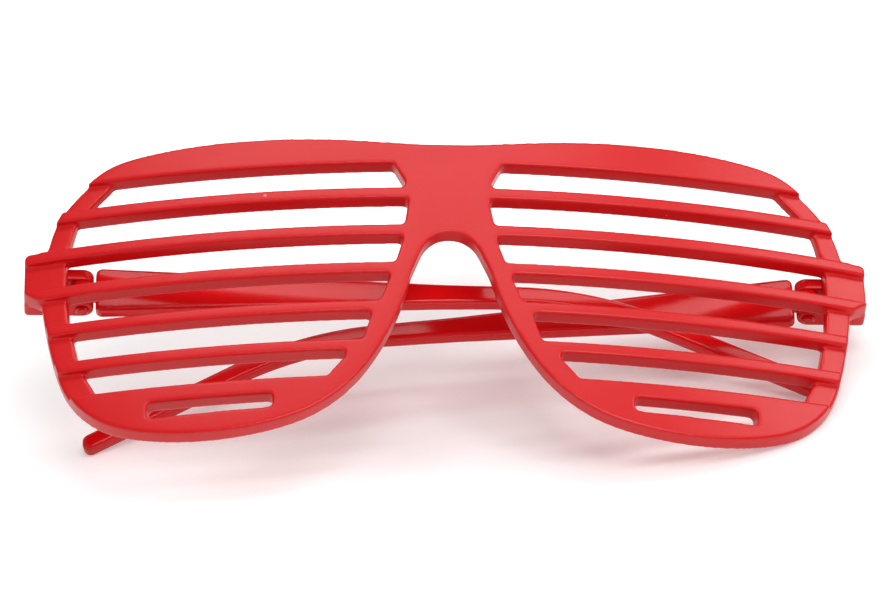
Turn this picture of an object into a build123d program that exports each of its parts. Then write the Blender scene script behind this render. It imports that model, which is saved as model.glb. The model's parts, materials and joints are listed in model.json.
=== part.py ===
from build123d import *
import math
import os

# Slatted novelty glasses, lying face up on their folded temples.
# The sizes are those of the glasses as worn: X to the side, Y back from the front
# face, Z up from the lowest point of the rims. The resting place turns every plane
# from there to the way the glasses lie.

# Front: one moulded plate, wrapped about an upright axis
half_width = 75.15
front_height = 62.75
wrap_depth = 10.75
plate_depth = 3.2

# Slats, counted upwards from the lowest one
slat_count = 5
slat_height = 2.35
slat_pitch = 8.25
lowest_slat_z = 15.8
lower_band_height = 10.5
brow_z = 56.55
slot_corner = 0.9
rim_recess = 1.25
recess_start = 50.0

# Nose arch
arch_height = 41.1

# Small slot in each lower rim
chin_slot_inner = 31.5
chin_slot_outer = 53.3
chin_slot_inner_z = 4.45
chin_slot_outer_z = 3.95
chin_slot_top = 7.3
chin_slot_corner = 1.0

# End pieces and the hinge blocks moulded behind them
end_top = 42.7
end_inner_top = 72.9
end_low = 34.3
end_corner = 0.9
block_inner = 68.3
block_round = 0.5
block_sink = 0.25

# Hinge: two lugs on the block, one tongue on the temple, one headed pin
hinge_x = 64.9
hinge_y = 14.8
hinge_z = 37.5
hinge_height = 7.6
barrel_radius = 2.1
tongue_height = 2.7
tongue_gap = 0.12
pin_radius = 0.7
pin_clearance = 0.05
pin_head_radius = 1.15
pin_head_height = 0.6

# Temples
temple_thickness = 2.8
temple_height = 9.5
temple_mid_height = 4.3
temple_tip_height = 3.4
temple_end_gap = 0.3
temple_end_round = 1.2
temple_edge_chamfer = 0.5
taper_reach = 64.0
taper_blend = 90.0
ear_corner = 90.85
ear_radius = 60.0
ear_turn = 26.0
temple_reach = 131.0
tip_round = 1.4

# How the folded glasses rest
right_temple_fold = 9.0
lean_back = 63.8
tip_over = 8.09
rest_x = -0.644
rest_y = -30.259
rest_z = 15.947

# One overrun serves every cut
cut = 2.0

wrap_radius = (half_width**2 + wrap_depth**2) / (2 * wrap_depth)
back_radius = wrap_radius - plate_depth
front_depth = wrap_depth + plate_depth + cut
at_rest = Location((rest_x, rest_y, rest_z)) * Rotation(0, tip_over, 0) * Rotation(-lean_back, 0, 0)


def lying(plane):
    """The same plane once the glasses lie at rest."""
    return Plane(at_rest * plane.location)


# Half of the front's outline, as shares of half its width and of its height
brow_shares = (
    (0.0, 0.967),
    (0.24, 0.988),
    (0.426, 1.0),
    (0.60, 0.995),
    (0.72, 0.978),
    (0.805, 0.948),
    (0.865, 0.889),
    (0.914, 0.813),
    (0.935, 0.754),
    (0.943, 0.714),
)
brow_tangents = ((1, 0), (0.2, -1))
lower_rim_shares = (
    (0.957, 0.507),
    (0.949, 0.440),
    (0.925, 0.295),
    (0.885, 0.163),
    (0.808, 0.064),
    (0.705, 0.016),
    (0.605, 0.0),
    (0.439, 0.016),
    (0.333, 0.059),
    (0.234, 0.153),
    (0.164, 0.280),
    (0.117, 0.414),
    (0.096, 0.504),
)
arch_shares = ((0.096, 0.504), (0.077, 0.567), (0.057, 0.618), (0.033, 0.645))

# Ends of the six slots in each lens from the lowest up, as shares of half the width:
# lower inner, upper inner, lower outer and upper outer corner
slot_end_shares = (
    (0.293, 0.238, 0.825, 0.860),
    (0.209, 0.186, 0.872, 0.888),
    (0.169, 0.138, 0.895, 0.904),
    (0.130, 0.108, 0.906, 0.907),
    (0.107, 0.095, 0.903, 0.884),
    (0.096, 0.130, 0.864, 0.798),
)

slat_lows = [lowest_slat_z + i * slat_pitch for i in range(slat_count)]
slot_lows = [lower_band_height] + [z + slat_height for z in slat_lows]
slot_tops = slat_lows + [brow_z]


def on_outline(shares):
    """Points of the front's outline from shares of its half width and height."""
    return [(across * half_width, up * front_height) for across, up in shares]


def face_y(x, radius):
    """Depth at side distance x of the plate's surface that has this radius."""
    return wrap_radius - math.sqrt(radius**2 - x**2)


def radial(x, y):
    """Side distance, at depth y, of a wall that meets the curved face square at x."""
    return x * (wrap_radius - y) / (wrap_radius - face_y(x, wrap_radius))


def slot_section(corners, rounded, radius, y):
    """A slot's section at depth y, its walls square to the curved face."""
    with BuildSketch(lying(Plane.XZ.offset(-y))) as section:
        with BuildLine():
            Polyline([(radial(x, y), z) for x, z in corners], close=True)
        make_face()
        spots = [Vector(radial(x, y), z) for x, z in rounded]
        fillet([vertices().sort_by_distance(spot)[0] for spot in spots], radius)
    return section.sketch


# Everything that is cut through the lenses: six slots between the slats and the small slot
with BuildPart() as slots:
    for low, top, shares in zip(slot_lows, slot_tops, slot_end_shares):
        inner_low, inner_top, outer_low, outer_top = [share * half_width for share in shares]
        inner_end = [(inner_low, low), (inner_top, top)]
        corners = inner_end + [(outer_top, top), (outer_low, low)]
        loft([slot_section(corners, inner_end, slot_corner, y) for y in (-cut, front_depth)], ruled=True)
    chin_slot = [
        (chin_slot_inner, chin_slot_inner_z),
        (chin_slot_inner, chin_slot_top),
        (chin_slot_outer, chin_slot_top),
        (chin_slot_outer, chin_slot_outer_z),
    ]
    loft([slot_section(chin_slot, chin_slot, chin_slot_corner, y) for y in (-cut, front_depth)], ruled=True)
    mirror(about=lying(Plane.YZ))

# The front: curved band cut to the outline of the brow, end pieces, rims and nose arch
with BuildPart() as front:
    with BuildSketch(lying(Plane.XY)):
        with Locations((0, wrap_radius)):
            Circle(wrap_radius)
            Circle(back_radius, mode=Mode.SUBTRACT)
        with Locations((0, front_depth / 2)):
            Rectangle(2 * half_width, front_depth, mode=Mode.INTERSECT)
    extrude(amount=front_height)
    with BuildSketch(lying(Plane.XZ)):
        with BuildLine():
            brow = Spline(on_outline(brow_shares), tangents=brow_tangents)
            TangentArc(brow @ 1, (end_inner_top, end_top), tangent=brow % 1)
            FilletPolyline(
                (end_inner_top, end_top),
                (half_width, end_top),
                (half_width, end_low),
                on_outline(lower_rim_shares)[0],
                radius=end_corner,
            )
            rim = Spline(on_outline(lower_rim_shares))
            arch = Spline(on_outline(arch_shares) + [(0, arch_height)], tangents=(rim % 1, (-1, 0)))
            Line(arch @ 1, brow @ 0)
        make_face()
        mirror(about=Plane.YZ)
    extrude(amount=-front_depth, mode=Mode.INTERSECT)
    add(slots.part, mode=Mode.SUBTRACT)

    # The rims lie back behind the slats' faces in the rows between the slats
    for low, top in zip(slot_lows, slot_tops):
        with BuildSketch(lying(Plane.XY.offset(low))):
            with Locations((0, wrap_radius)):
                Circle(wrap_radius + cut)
                Circle(wrap_radius - rim_recess, mode=Mode.SUBTRACT)
            with Locations((recess_start, -cut), (-recess_start - half_width, -cut)):
                Rectangle(half_width, front_depth + cut, align=Align.MIN, mode=Mode.INTERSECT)
        extrude(amount=top - low, mode=Mode.SUBTRACT)

# Hinge blocks behind the end pieces, each split into two rounded lugs for the temple's tongue
with BuildPart() as blocks:
    with BuildSketch(lying(Plane.XY.offset(hinge_z - hinge_height / 2))):
        with BuildLine():
            Polyline(
                (hinge_x, hinge_y + barrel_radius),
                (half_width, hinge_y + barrel_radius),
                (half_width, face_y(half_width, back_radius) - block_sink),
                (block_inner, face_y(block_inner, back_radius) - block_sink),
                (block_inner, hinge_y - barrel_radius),
                (hinge_x, hinge_y - barrel_radius),
            )
            ThreePointArc(
                (hinge_x, hinge_y - barrel_radius),
                (hinge_x - barrel_radius, hinge_y),
                (hinge_x, hinge_y + barrel_radius),
            )
        make_face()
    extrude(amount=hinge_height)
    fillet(faces().sort_by(Axis(at_rest.position, lying(Plane.YZ).z_dir))[-1].edges(), block_round)
    with BuildSketch(lying(Plane.XY.offset(hinge_z - tongue_height / 2 - tongue_gap))):
        with Locations((hinge_x - barrel_radius - cut, 0)):
            slit = block_inner - hinge_x + barrel_radius + cut
            Rectangle(slit, 2 * front_depth, align=Align.MIN)
    extrude(amount=tongue_height + 2 * tongue_gap, mode=Mode.SUBTRACT)
    with BuildSketch(lying(Plane.XY.offset(hinge_z - hinge_height / 2))):
        with Locations((hinge_x, hinge_y)):
            Circle(pin_radius + pin_clearance)
    extrude(amount=hinge_height, mode=Mode.SUBTRACT)
    mirror(about=lying(Plane.YZ))

with BuildPart() as front_with_hinges:
    add(front.part)
    add(blocks.part)

os.makedirs("parts", exist_ok=True)
front_with_hinges.part.label = "front"
export_step(front_with_hinges.part, "parts/front.step")


def hinge_frame(side, fold):
    """The hinge on one side, its X along the temple and its Z up the pin."""
    inward = 180 - fold if side > 0 else fold
    return at_rest * Location((side * hinge_x, hinge_y, hinge_z), (0, 0, inward))


def make_temple(hinge):
    """One temple: tall at the hinge, tapered, and bent down behind the ear to a ball tip."""
    root = barrel_radius + temple_end_gap
    down = math.radians(ear_turn)
    tip_drop = (temple_reach - ear_corner) * math.tan(down)
    side_step = temple_tip_height / 2 * math.tan(down / 2)
    across = temple_tip_height / 2 / math.cos(down)
    with BuildPart() as temple:
        with BuildSketch(Plane(hinge * Plane.XZ.location)):
            with BuildLine():
                FilletPolyline(
                    (root, temple_height / 2),
                    (taper_reach, temple_mid_height / 2),
                    (ear_corner + side_step, temple_tip_height / 2),
                    (temple_reach, across - tip_drop),
                    (temple_reach, -across - tip_drop),
                    (ear_corner - side_step, -temple_tip_height / 2),
                    (taper_reach, -temple_mid_height / 2),
                    (root, -temple_height / 2),
                    radius=(
                        temple_end_round,
                        taper_blend,
                        ear_radius + temple_tip_height / 2,
                        tip_round,
                        tip_round,
                        ear_radius - temple_tip_height / 2,
                        taper_blend,
                        temple_end_round,
                    ),
                    close=True,
                )
            make_face()
        extrude(amount=temple_thickness / 2, both=True)
        sides = faces().sort_by(Axis(hinge.position, Plane(hinge * Plane.XZ.location).z_dir))
        chamfer(sides[0].edges() + sides[-1].edges(), temple_edge_chamfer)
        with BuildSketch(Plane(hinge * Plane.XY.offset(-tongue_height / 2).location)):
            Circle(barrel_radius)
            Rectangle(root + cut, temple_thickness, align=(Align.MIN, Align.CENTER))
            Circle(pin_radius + pin_clearance, mode=Mode.SUBTRACT)
        extrude(amount=tongue_height)
    return temple.part


def make_pin(hinge):
    """Hinge pin: a plain shank through both lugs, its round head under the lower one."""
    with BuildPart() as pin:
        with BuildSketch(Plane(hinge * Plane.XY.offset(-hinge_height / 2).location)):
            Circle(pin_radius)
        extrude(amount=hinge_height)
        with BuildSketch(Plane(hinge * Plane.XY.offset(-hinge_height / 2).location)):
            Circle(pin_head_radius)
        extrude(amount=-pin_head_height)
        chamfer(faces().sort_by(Axis(hinge.position, lying(Plane.XY).z_dir))[0].edges(), pin_head_height / 2)
    return pin.part


for name, side, fold in (("left", -1, 0), ("right", 1, right_temple_fold)):
    hinge = hinge_frame(side, fold)
    temple = make_temple(hinge)
    temple.label = name + "_temple"
    export_step(temple, "parts/" + temple.label + ".step")
    pin = make_pin(hinge)
    pin.label = name + "_hinge_pin"
    export_step(pin, "parts/" + pin.label + ".step")
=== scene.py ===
import json
import math

import bmesh
import bpy
from mathutils import Matrix, Vector


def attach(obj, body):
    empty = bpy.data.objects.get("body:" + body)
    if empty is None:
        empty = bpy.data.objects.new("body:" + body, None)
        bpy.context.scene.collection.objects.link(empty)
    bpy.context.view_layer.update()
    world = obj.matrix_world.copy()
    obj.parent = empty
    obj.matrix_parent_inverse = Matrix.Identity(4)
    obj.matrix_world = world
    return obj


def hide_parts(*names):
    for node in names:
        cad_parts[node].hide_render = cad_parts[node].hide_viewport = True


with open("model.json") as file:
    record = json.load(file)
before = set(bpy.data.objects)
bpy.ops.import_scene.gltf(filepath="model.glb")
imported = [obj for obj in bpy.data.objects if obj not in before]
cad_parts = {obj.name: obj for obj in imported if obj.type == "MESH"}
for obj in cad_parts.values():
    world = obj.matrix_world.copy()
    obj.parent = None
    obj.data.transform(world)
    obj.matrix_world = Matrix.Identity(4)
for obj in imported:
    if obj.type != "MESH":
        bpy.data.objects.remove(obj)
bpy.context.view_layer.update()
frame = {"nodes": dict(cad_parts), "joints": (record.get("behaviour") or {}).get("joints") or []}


# The red plastic
# Every piece is moulded from one opaque red plastic, polished by its mould. The skin has a
# slight orange peel, faint flow marks and a few pale specks and hairline scuffs.

plastic_red = (0.78, 0.005, 0.008, 1.0)
plastic_deep_red = (0.66, 0.002, 0.004, 1.0)
speck_pink = (0.90, 0.30, 0.28, 1.0)
plastic_ior = 1.42

flow_stretch = (28, 150, 150)
flow_detail = 4.0
flow_dulling = 0.12

peel_fineness = 620.0
peel_detail = 3.0

speck_fineness = 170.0
speck_radius = 0.055
speck_rarity = 0.72
speck_hill = 1.5

scuff_fineness = 85.0
scuff_detail = 1.0
scuff_bend = 1.6
scuff_thinness = 0.0035
scuff_patch_fineness = 48.0
scuff_rarity = 0.62
scuff_dulling = 0.25

# A noise runs from 0 to 1, and the scuffs follow its middle
noise_middle = 0.5


def add_node(tree, kind, label, **settings):
    """A node of a tree, with its own settings such as operation or data_type."""
    node = tree.nodes.new(kind)
    node.name = node.label = label
    for setting, value in settings.items():
        setattr(node, setting, value)
    return node


def calculate(tree, operation, first, second, label):
    """A math node on two sockets or plain numbers."""
    node = add_node(tree, "ShaderNodeMath", label, operation=operation)
    for socket, value in zip(node.inputs, (first, second)):
        if isinstance(value, bpy.types.NodeSocket):
            tree.links.new(value, socket)
        else:
            socket.default_value = value
    return node.outputs[0]


def colour_over(tree, amount, under, over, label):
    """The colour over laid on the colour under, as strongly as the amount says."""
    node = add_node(tree, "ShaderNodeMix", label, data_type="RGBA")
    colour_sockets = (node.inputs[0], node.inputs[6], node.inputs[7])
    for source, socket in zip((amount, under, over), colour_sockets):
        tree.links.new(source, socket)
    return node.outputs[2]


def make_moulded_skin():
    """Node group: the colour, roughness and relief of a moulded plastic skin."""
    skin = bpy.data.node_groups.new("moulded_skin", "ShaderNodeTree")
    panel = skin.interface
    panel.new_socket("Red", in_out="INPUT", socket_type="NodeSocketColor")
    panel.new_socket("Deep red", in_out="INPUT", socket_type="NodeSocketColor")
    panel.new_socket("Speck colour", in_out="INPUT", socket_type="NodeSocketColor")
    panel.new_socket("Gloss roughness", in_out="INPUT", socket_type="NodeSocketFloat")
    panel.new_socket("Flow marks", in_out="INPUT", socket_type="NodeSocketFloat")
    panel.new_socket("Specks", in_out="INPUT", socket_type="NodeSocketFloat")
    panel.new_socket("Scuffs", in_out="INPUT", socket_type="NodeSocketFloat")
    panel.new_socket("Colour", in_out="OUTPUT", socket_type="NodeSocketColor")
    panel.new_socket("Roughness", in_out="OUTPUT", socket_type="NodeSocketFloat")
    panel.new_socket("Relief", in_out="OUTPUT", socket_type="NodeSocketFloat")
    given = add_node(skin, "NodeGroupInput", "given")
    made = add_node(skin, "NodeGroupOutput", "made")
    place = add_node(skin, "ShaderNodeTexCoord", "place").outputs["Object"]

    # Flow marks are long faint clouds, drawn out sideways along the front and folded temples
    drawn_out = add_node(skin, "ShaderNodeMapping", "drawn out")
    drawn_out.inputs["Scale"].default_value = flow_stretch
    skin.links.new(place, drawn_out.inputs["Vector"])
    clouds = add_node(skin, "ShaderNodeTexNoise", "flow clouds")
    clouds.inputs["Scale"].default_value = 1.0
    clouds.inputs["Detail"].default_value = flow_detail
    skin.links.new(drawn_out.outputs["Vector"], clouds.inputs["Vector"])
    marked = given.outputs["Flow marks"]
    flow = calculate(skin, "MULTIPLY", clouds.outputs[0], marked, "flow strength")

    # Orange peel
    peel = add_node(skin, "ShaderNodeTexNoise", "orange peel")
    peel.inputs["Scale"].default_value = peel_fineness
    peel.inputs["Detail"].default_value = peel_detail
    skin.links.new(place, peel.inputs["Vector"])

    # Specks: the middles of a few scattered cells
    cells = add_node(skin, "ShaderNodeTexVoronoi", "speck cells")
    cells.inputs["Scale"].default_value = speck_fineness
    skin.links.new(place, cells.inputs["Vector"])
    middle = calculate(skin, "LESS_THAN", cells.outputs["Distance"], speck_radius, "cell middle")
    chosen = add_node(skin, "ShaderNodeSeparateColor", "chosen cells")
    skin.links.new(cells.outputs["Color"], chosen.inputs[0])
    few = calculate(skin, "GREATER_THAN", chosen.outputs[0], speck_rarity, "few cells")
    speck = calculate(skin, "MULTIPLY", middle, few, "speck")
    speck = calculate(skin, "MULTIPLY", speck, given.outputs["Specks"], "speck strength")

    # Scuffs: short stretches of thin lines
    streaks = add_node(skin, "ShaderNodeTexNoise", "scuff lines")
    streaks.inputs["Scale"].default_value = scuff_fineness
    streaks.inputs["Detail"].default_value = scuff_detail
    streaks.inputs["Distortion"].default_value = scuff_bend
    skin.links.new(place, streaks.inputs["Vector"])
    centred = calculate(skin, "SUBTRACT", streaks.outputs[0], noise_middle, "off centre")
    off_line = calculate(skin, "ABSOLUTE", centred, 0.0, "distance from the line")
    thin = calculate(skin, "LESS_THAN", off_line, scuff_thinness, "thin line")
    patches = add_node(skin, "ShaderNodeTexNoise", "scuffed patches")
    patches.inputs["Scale"].default_value = scuff_patch_fineness
    skin.links.new(place, patches.inputs["Vector"])
    short = calculate(skin, "GREATER_THAN", patches.outputs[0], scuff_rarity, "short stretch")
    scuff = calculate(skin, "MULTIPLY", thin, short, "scuff")
    scuff = calculate(skin, "MULTIPLY", scuff, given.outputs["Scuffs"], "scuff strength")

    red, deep_red = given.outputs["Red"], given.outputs["Deep red"]
    clouded = colour_over(skin, flow, red, deep_red, "clouded red")
    speck_colour = given.outputs["Speck colour"]
    specked = colour_over(skin, speck, clouded, speck_colour, "specked red")
    skin.links.new(specked, made.inputs["Colour"])

    waviness = calculate(skin, "MULTIPLY", flow, flow_dulling, "flow roughness")
    dull = calculate(skin, "MULTIPLY", scuff, scuff_dulling, "scuff roughness")
    gloss = given.outputs["Gloss roughness"]
    rough = calculate(skin, "ADD", gloss, waviness, "roughness with flow")
    skin.links.new(calculate(skin, "ADD", rough, dull, "roughness"), made.inputs["Roughness"])
    bumps = calculate(skin, "MULTIPLY", speck, speck_hill, "speck hill")
    hills = calculate(skin, "ADD", peel.outputs[0], bumps, "hills")
    relief = calculate(skin, "SUBTRACT", hills, scuff, "relief")
    skin.links.new(relief, made.inputs["Relief"])
    return skin


moulded_skin = make_moulded_skin()


def make_plastic(name, roughness, flow_marks, specks, scuffs, peel_height):
    """The red plastic of one piece, as glossy and as marked as that piece is."""
    plastic = bpy.data.materials.new(name)
    plastic.use_nodes = True
    tree = plastic.node_tree
    shader = tree.nodes["Principled BSDF"]
    shader.inputs["IOR"].default_value = plastic_ior
    skin = add_node(tree, "ShaderNodeGroup", "moulded skin", node_tree=moulded_skin)
    skin.inputs["Red"].default_value = plastic_red
    skin.inputs["Deep red"].default_value = plastic_deep_red
    skin.inputs["Speck colour"].default_value = speck_pink
    skin.inputs["Gloss roughness"].default_value = roughness
    skin.inputs["Flow marks"].default_value = flow_marks
    skin.inputs["Specks"].default_value = specks
    skin.inputs["Scuffs"].default_value = scuffs
    bump = add_node(tree, "ShaderNodeBump", "skin relief")
    bump.inputs["Strength"].default_value = 1.0
    bump.inputs["Distance"].default_value = peel_height
    tree.links.new(skin.outputs["Colour"], shader.inputs["Base Color"])
    tree.links.new(skin.outputs["Roughness"], shader.inputs["Roughness"])
    tree.links.new(skin.outputs["Relief"], bump.inputs["Height"])
    tree.links.new(bump.outputs["Normal"], shader.inputs["Normal"])
    return plastic


# The front
# One moulded plate with the slats, brow, rims, nose arch and hinge blocks in one piece.
# Its face is a little more satin than the temples and has the most marks, and all its edges
# are rounded, as the polished mould leaves them.

same_place = 0.000001
skin_grid = 0.0002
polish_strength = 0.5
front_polish = 20
front_kept = 0.22

# The directions of the glasses as worn, read from their hinges
hinges = {joint["name"]: joint for joint in frame["joints"]}
left_hinge_place = Vector(hinges["left_temple_hinge"]["pos_m"])
right_hinge_place = Vector(hinges["right_temple_hinge"]["pos_m"])
upward = Vector(hinges["left_temple_hinge"]["axis"]).normalized()
across = (right_hinge_place - left_hinge_place).normalized()
backward = upward.cross(across)
to_worn = Matrix((across, backward, upward)).to_4x4()


def soften(node_name, body, polish, kept, plastic):
    """The moulding of a node in one fine closed skin, its edges rounded by passes of polishing.

    The skin's grid lies along the slats and the hinge pins, so that long edges stay straight.
    """
    skin = bmesh.new()
    skin.from_mesh(frame["nodes"][node_name].data)
    bmesh.ops.remove_doubles(skin, verts=skin.verts, dist=same_place)
    bmesh.ops.transform(skin, matrix=to_worn, verts=skin.verts)
    shape = bpy.data.meshes.new("soft_" + node_name)
    skin.to_mesh(shape)
    skin.free()
    piece = bpy.data.objects.new("soft_" + node_name, shape)
    bpy.context.scene.collection.objects.link(piece)
    fine_skin = piece.modifiers.new("fine skin", "REMESH")
    fine_skin.mode = "VOXEL"
    fine_skin.voxel_size = skin_grid
    fine_skin.use_smooth_shade = True
    polishing = piece.modifiers.new("polishing", "SMOOTH")
    polishing.factor = polish_strength
    polishing.iterations = polish
    thinning = piece.modifiers.new("fewer faces on the flats", "DECIMATE")
    thinning.ratio = kept
    seen_shape = piece.evaluated_get(bpy.context.evaluated_depsgraph_get())
    finished = bpy.data.meshes.new_from_object(seen_shape)
    finished.transform(to_worn.inverted())
    piece.modifiers.clear()
    piece.data = finished
    finished.materials.clear()
    finished.materials.append(plastic)
    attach(piece, body)
    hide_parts(node_name)
    return piece


front_plastic = make_plastic(
    "front_plastic",
    roughness=0.27,
    flow_marks=0.5,
    specks=0.7,
    scuffs=0.5,
    peel_height=0.000003,
)
front = soften("front", "front", front_polish, front_kept, front_plastic)


# The ejector marks
# Small round marks on the back of the front, where the pins of the mould pushed it out. They
# stand a hair proud: a row along the brow, a pair on each lower rim and two down the bridge.

mark_radius = 0.0011
mark_height = 0.00008
mark_sides = 32

# Depths go back from the face, and rises up from the lowest point of the rims
hinge_depth = 0.0148
hinge_rise = 0.0375
well_behind = 0.040
brow_mark_rise = 0.0594
brow_mark_steps = (0.014, 0.030, 0.046)
rim_mark_rise = 0.0089
rim_mark_steps = (0.036, 0.048)
bridge_mark_rises = (0.046, 0.055)

mark_places = [(side * step, brow_mark_rise) for side in (-1, 1) for step in brow_mark_steps]
mark_places += [(side * step, rim_mark_rise) for side in (-1, 1) for step in rim_mark_steps]
mark_places += [(0.0, rise) for rise in bridge_mark_rises]


def make_marker():
    """Node tree: sets a flat round mark where a ray from each point meets the moulding."""
    marker = bpy.data.node_groups.new("ejector_marker", "GeometryNodeTree")
    panel = marker.interface
    panel.new_socket("Points", in_out="INPUT", socket_type="NodeSocketGeometry")
    panel.new_socket("Moulding", in_out="INPUT", socket_type="NodeSocketObject")
    panel.new_socket("Push direction", in_out="INPUT", socket_type="NodeSocketVector")
    panel.new_socket("Radius", in_out="INPUT", socket_type="NodeSocketFloat")
    panel.new_socket("Height", in_out="INPUT", socket_type="NodeSocketFloat")
    panel.new_socket("Sides", in_out="INPUT", socket_type="NodeSocketInt")
    panel.new_socket("Plastic", in_out="INPUT", socket_type="NodeSocketMaterial")
    panel.new_socket("Marks", in_out="OUTPUT", socket_type="NodeSocketGeometry")
    given = add_node(marker, "NodeGroupInput", "given")
    made = add_node(marker, "NodeGroupOutput", "made")

    moulding = add_node(
        marker, "GeometryNodeObjectInfo", "moulding", transform_space="RELATIVE"
    )
    marker.links.new(given.outputs["Moulding"], moulding.inputs["Object"])
    ray = add_node(marker, "GeometryNodeRaycast", "ray to the moulding")
    marker.links.new(moulding.outputs["Geometry"], ray.inputs["Target Geometry"])
    marker.links.new(given.outputs["Push direction"], ray.inputs["Ray Direction"])
    upright = add_node(
        marker, "FunctionNodeAlignRotationToVector", "square to the face", axis="Z"
    )
    marker.links.new(ray.outputs["Hit Normal"], upright.inputs["Vector"])

    # The disc is twice as thick as the mark is high, because half of it is sunk
    height = given.outputs["Height"]
    thickness = calculate(marker, "MULTIPLY", height, 2.0, "half of it sunk")
    disc = add_node(marker, "GeometryNodeMeshCylinder", "disc")
    marker.links.new(given.outputs["Sides"], disc.inputs["Vertices"])
    marker.links.new(given.outputs["Radius"], disc.inputs["Radius"])
    marker.links.new(thickness, disc.inputs["Depth"])
    discs = add_node(marker, "GeometryNodeInstanceOnPoints", "disc at each point")
    marker.links.new(given.outputs["Points"], discs.inputs["Points"])
    marker.links.new(disc.outputs["Mesh"], discs.inputs["Instance"])
    marker.links.new(upright.outputs["Rotation"], discs.inputs["Rotation"])

    here = add_node(marker, "GeometryNodeInputPosition", "point")
    way = add_node(marker, "ShaderNodeVectorMath", "way to the face", operation="SUBTRACT")
    marker.links.new(ray.outputs["Hit Position"], way.inputs[0])
    marker.links.new(here.outputs["Position"], way.inputs[1])
    seated = add_node(marker, "GeometryNodeTranslateInstances", "seated on the face")
    seated.inputs["Local Space"].default_value = False
    marker.links.new(discs.outputs["Instances"], seated.inputs["Instances"])
    marker.links.new(way.outputs["Vector"], seated.inputs["Translation"])

    solid = add_node(marker, "GeometryNodeRealizeInstances", "solid marks")
    marker.links.new(seated.outputs["Instances"], solid.inputs["Geometry"])
    coloured = add_node(marker, "GeometryNodeSetMaterial", "coloured")
    marker.links.new(solid.outputs["Geometry"], coloured.inputs["Geometry"])
    marker.links.new(given.outputs["Plastic"], coloured.inputs["Material"])
    marker.links.new(coloured.outputs["Geometry"], made.inputs["Marks"])
    return marker


between_hinges = (left_hinge_place + right_hinge_place) / 2
behind_hinges = between_hinges + (well_behind - hinge_depth) * backward
behind_marks = [
    behind_hinges + step * across + (rise - hinge_rise) * upward for step, rise in mark_places
]
start_points = bpy.data.meshes.new("ejector_points")
start_points.from_pydata(behind_marks, [], [])
marks = bpy.data.objects.new("ejector_marks", start_points)
bpy.context.scene.collection.objects.link(marks)
marking = marks.modifiers.new("marks", "NODES")
marking.node_group = make_marker()
marker_settings = {
    "Moulding": front,
    "Push direction": -backward,
    "Radius": mark_radius,
    "Height": mark_height,
    "Sides": mark_sides,
    "Plastic": front_plastic,
}
for socket in marking.node_group.interface.items_tree:
    if socket.name in marker_settings:
        marking[socket.identifier] = marker_settings[socket.name]
marks_shape = marks.evaluated_get(bpy.context.evaluated_depsgraph_get())
finished_marks = bpy.data.meshes.new_from_object(marks_shape)
finished_marks.materials.clear()
finished_marks.materials.append(front_plastic)
marks.modifiers.clear()
marks.data = finished_marks
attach(marks, "front")


# The temples
# Two moulded arms of the same plastic, folded one over the other behind the front. Each turns
# on its pin by the tongue at its end. They are glossier than the front and less marked.

temple_polish = 8
temple_kept = 0.4

temple_plastic = make_plastic(
    "temple_plastic",
    roughness=0.13,
    flow_marks=0.35,
    specks=0.15,
    scuffs=0.35,
    peel_height=0.000003,
)
for side in ("left", "right"):
    soften(side + "_temple", side + "_temple", temple_polish, temple_kept, temple_plastic)


# The hinge pins
# A headed pin of the same plastic, pushed through the lugs of the front and the tongue of the
# temple between them. It is the glossiest piece, and has no specks.

pin_plastic = make_plastic(
    "pin_plastic",
    roughness=0.10,
    flow_marks=0.2,
    specks=0.0,
    scuffs=0.2,
    peel_height=0.000002,
)
for side in ("left", "right"):
    pin = frame["nodes"][side + "_hinge_pin"]
    pin.data.materials.clear()
    pin.data.materials.append(pin_plastic)


# The floor
# A plain white sheet that the glasses lie on. Its glow is weaker in an oval under and close
# around the front, a painted shade that keeps their shadow and the red they cast on it dark
# there, and away from there it goes over to clean white.

floor_half_width = 6.0
floor_white = (0.93, 0.93, 0.93, 1.0)
floor_roughness = 0.9
lift_white = (1.0, 1.0, 1.0, 1.0)
lift_in_painted_shade = 0.15
lift_away = 0.58

# The painted shade is an oval of weaker glow, and the fade is given in its half widths
painted_shade_middle = (0.0, 0.020, 0.0)
painted_shade_turn = math.radians(-14)
painted_shade_reach = (0.062, 0.030, 1.0)
painted_shade_fade_start = 0.9
painted_shade_fade_end = 2.0

bpy.ops.mesh.primitive_plane_add(size=2 * floor_half_width)
floor = bpy.context.object
floor.name = "floor"
sheet_white = bpy.data.materials.new("sheet_white")
sheet_white.use_nodes = True
sheet_tree = sheet_white.node_tree
sheet_shader = sheet_tree.nodes["Principled BSDF"]
sheet_shader.inputs["Base Color"].default_value = floor_white
sheet_shader.inputs["Roughness"].default_value = floor_roughness
sheet_shader.inputs["Specular IOR Level"].default_value = 0.0
sheet_shader.inputs["Emission Color"].default_value = lift_white

# The lift is seen by the camera, in gloss and through glass, and lights nothing else
rays = add_node(sheet_tree, "ShaderNodeLightPath", "rays")
direct, mirrored = rays.outputs["Is Camera Ray"], rays.outputs["Is Glossy Ray"]
seen = calculate(sheet_tree, "MAXIMUM", direct, mirrored, "seen")
through = rays.outputs["Is Transmission Ray"]
seen = calculate(sheet_tree, "MAXIMUM", seen, through, "seen or through")
sheet_place = add_node(sheet_tree, "ShaderNodeTexCoord", "place on the sheet").outputs["Object"]
in_painted_shade_reaches = add_node(
    sheet_tree, "ShaderNodeMapping", "in reaches of the shadow", vector_type="TEXTURE"
)
in_painted_shade_reaches.inputs["Location"].default_value = painted_shade_middle
in_painted_shade_reaches.inputs["Rotation"].default_value = (0.0, 0.0, painted_shade_turn)
in_painted_shade_reaches.inputs["Scale"].default_value = painted_shade_reach
sheet_tree.links.new(sheet_place, in_painted_shade_reaches.inputs["Vector"])
reaches_away = add_node(
    sheet_tree, "ShaderNodeVectorMath", "reaches away", operation="LENGTH"
)
sheet_tree.links.new(in_painted_shade_reaches.outputs["Vector"], reaches_away.inputs[0])
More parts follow.
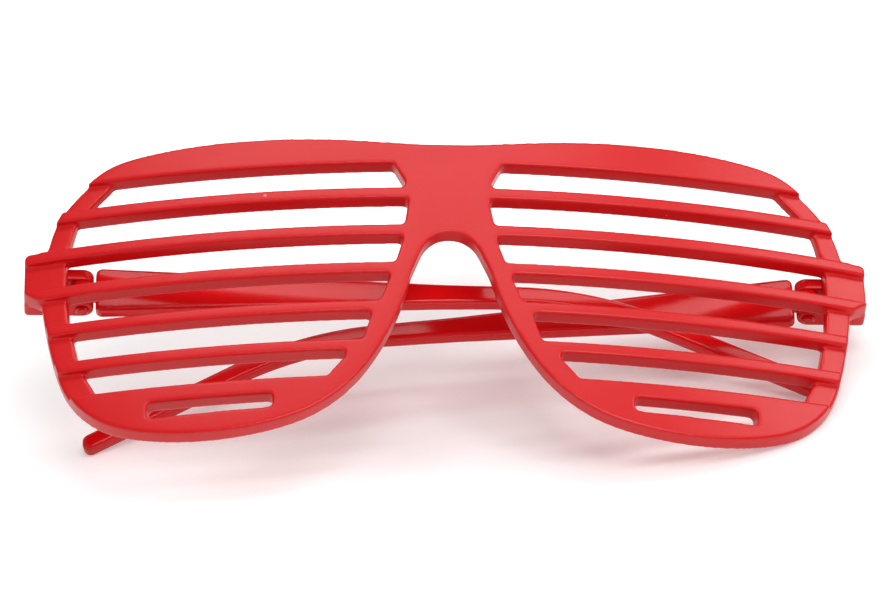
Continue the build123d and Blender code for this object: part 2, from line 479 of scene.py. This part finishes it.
fade = add_node(
    sheet_tree, "ShaderNodeMapRange", "shadow fades out", interpolation_type="SMOOTHSTEP"
)
fade.inputs["From Min"].default_value = painted_shade_fade_start
fade.inputs["From Max"].default_value = painted_shade_fade_end
fade.inputs["To Min"].default_value = lift_in_painted_shade
fade.inputs["To Max"].default_value = lift_away
sheet_tree.links.new(reaches_away.outputs["Value"], fade.inputs["Value"])
# Painted shade: the glow that lifts the sheet to white is weakest in the oval, so the floor
# stays darker there
lift = calculate(sheet_tree, "MULTIPLY", seen, fade.outputs["Result"], "lift to white")
sheet_tree.links.new(lift, sheet_shader.inputs["Emission Strength"])
floor.data.materials.append(sheet_white)


# The light
# A soft box overhead brightens the brow, a large one in front the whole face, and one on the
# right gives the pale gleam on that end. A weak panel on the left and a pale room fill in.

room_white = (1.0, 1.0, 1.0, 1.0)
room_strength = 0.31

world = bpy.data.worlds.new("pale room")
world.use_nodes = True
world.node_tree.nodes["Background"].inputs["Color"].default_value = room_white
world.node_tree.nodes["Background"].inputs["Strength"].default_value = room_strength
bpy.context.scene.world = world


def hang_panel(name, place, aim, width, length, radiance):
    """A soft box of a given brightness, turned to face a point."""
    lamp = bpy.data.lights.new(name, "AREA")
    lamp.shape = "RECTANGLE"
    lamp.size = width
    lamp.size_y = length
    lamp.energy = radiance * math.pi * width * length
    panel = bpy.data.objects.new(name, lamp)
    panel.location = place
    panel.rotation_euler = (Vector(aim) - Vector(place)).to_track_quat("-Z", "Y").to_euler()
    bpy.context.scene.collection.objects.link(panel)


hang_panel(
    "overhead box",
    place=(0.045, 0.19, 0.60),
    aim=(0.045, 0.19, 0.0),
    width=0.43,
    length=0.20,
    radiance=3.1,
)
hang_panel(
    "front box",
    place=(0.25, -0.42, 0.85),
    aim=(0.0, 0.0, 0.0),
    width=0.60,
    length=0.50,
    radiance=4.3,
)
hang_panel(
    "right box",
    place=(0.60, 0.20, 0.60),
    aim=(0.0, 0.0, 0.0),
    width=0.25,
    length=0.35,
    radiance=4.2,
)
hang_panel(
    "left panel",
    place=(-0.9, -0.7, 0.5),
    aim=(0.0, 0.0, 0.0),
    width=0.6,
    length=0.6,
    radiance=0.6,
)


# The camera
# It looks down on the face of the glasses at the picture's angle, through a long lens. The
# right-hand end lies lower than the left, and a slight roll brings them nearly level.

camera_lens = 208.43
camera_sensor = 36.0
camera_distance = 0.9
camera_azimuth = math.radians(0.60)
camera_elevation = math.radians(27.90)
camera_roll = math.radians(-6.72)
camera_aim = Vector((-0.00048, -0.00745, 0.02730))

camera_data = bpy.data.cameras.new("camera")
camera_data.lens = camera_lens
camera_data.sensor_width = camera_sensor
camera = bpy.data.objects.new("camera", camera_data)
bpy.context.scene.collection.objects.link(camera)
turn = (
    Matrix.Rotation(camera_azimuth, 4, "Z")
    @ Matrix.Rotation(math.pi / 2 - camera_elevation, 4, "X")
    @ Matrix.Rotation(camera_roll, 4, "Z")
)
camera_place = camera_aim + turn.to_3x3() @ Vector((0, 0, camera_distance))
camera.matrix_world = Matrix.Translation(camera_place) @ turn
bpy.context.scene.camera = camera
bpy.context.scene.view_settings.view_transform = "Standard"
